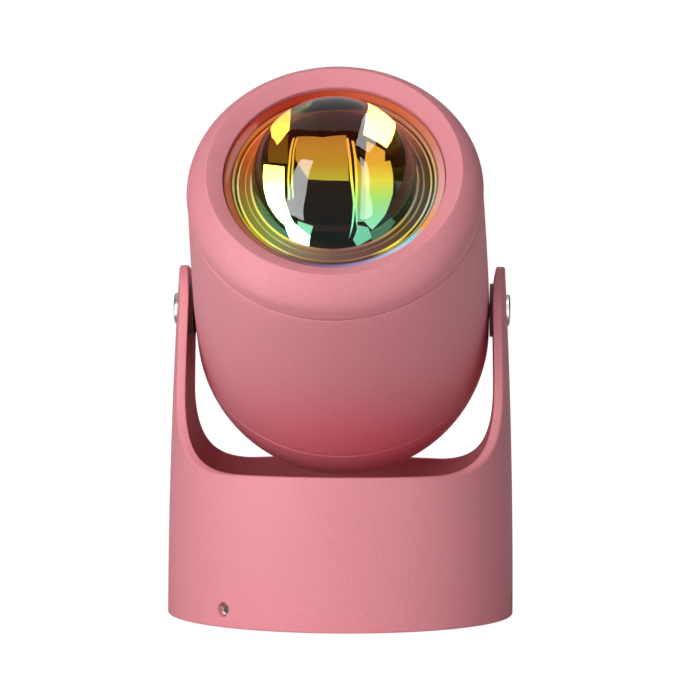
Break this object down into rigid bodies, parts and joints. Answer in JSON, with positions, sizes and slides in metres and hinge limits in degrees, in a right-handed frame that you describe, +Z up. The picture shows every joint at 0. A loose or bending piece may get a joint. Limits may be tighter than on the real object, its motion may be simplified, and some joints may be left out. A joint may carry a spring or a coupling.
{
  "type": "sunset projection lamp",
  "caption": "Small round projector lamp head with a domed back and a coated ball lens, tilting between the two ears of a weighted sleeve base.",
  "frame": {"origin": "middle of the base pad's underside, where the lamp stands on a table", "axes": "+Z up, front of the lamp at -Y, tilt axis along X through z = 61.8 mm; joint value 0 is the pictured tilt, 34.2 degrees above level"},
  "size_m": [0.07, 0.0886, 0.1093],
  "materials": {
    "coat": "satin pink powder coat with a fine grain",
    "ballast_steel": "turned",
    "pad_rubber": "matt foam rubber",
    "dark_steel": "blackened",
    "screw_steel": "bright zinc",
    "washer_rubber": "matt",
    "gasket_rubber": "matt",
    "gland_rubber": "matt",
    "lens_glass": "polished",
    "filter_coating": "rainbow coated",
    "black_plastic": "matt",
    "bare_aluminium": "as turned",
    "heat_pad": "matt",
    "lamp_board": "white solder mask",
    "lamp_chip": "clear over phosphor",
    "driver_board": "green solder mask",
    "lead_sheath": "red sheath",
    "insert_brass": "turned"
  },
  "bodies": {
    "yoke": {"yoke_sleeve": "coat", "ballast_disc": "ballast_steel", "base_pad": "pad_rubber", "set_screws": "dark_steel", "friction_washer_left": "washer_rubber", "friction_washer_right": "washer_rubber"},
    "head": {"main_body": "coat", "rear_dome": "coat", "front_cap": "coat", "lens": "lens_glass", "lens_gasket": "gasket_rubber", "filter_glass": "filter_coating", "lens_barrel": "black_plastic", "heat_sink": "bare_aluminium", "heat_pad": "heat_pad", "lamp_board": "lamp_board", "lamp_chip": "lamp_chip", "board_screws": "screw_steel", "driver_board": "driver_board", "driver_parts": "black_plastic", "lead_wires": "lead_sheath", "pivot_insert_left": "insert_brass", "pivot_insert_right": "insert_brass", "pivot_screw_left": "screw_steel", "pivot_screw_right": "screw_steel", "cable_gland": "gland_rubber"}
  },
  "joints": [
    {"name": "head_tilt", "type": "hinge", "parent": "yoke", "child": "head", "pos_m": [0, 0, 0.0618], "axis": [-1, 0, 0], "range_deg": [-35, 147]}
  ]
}
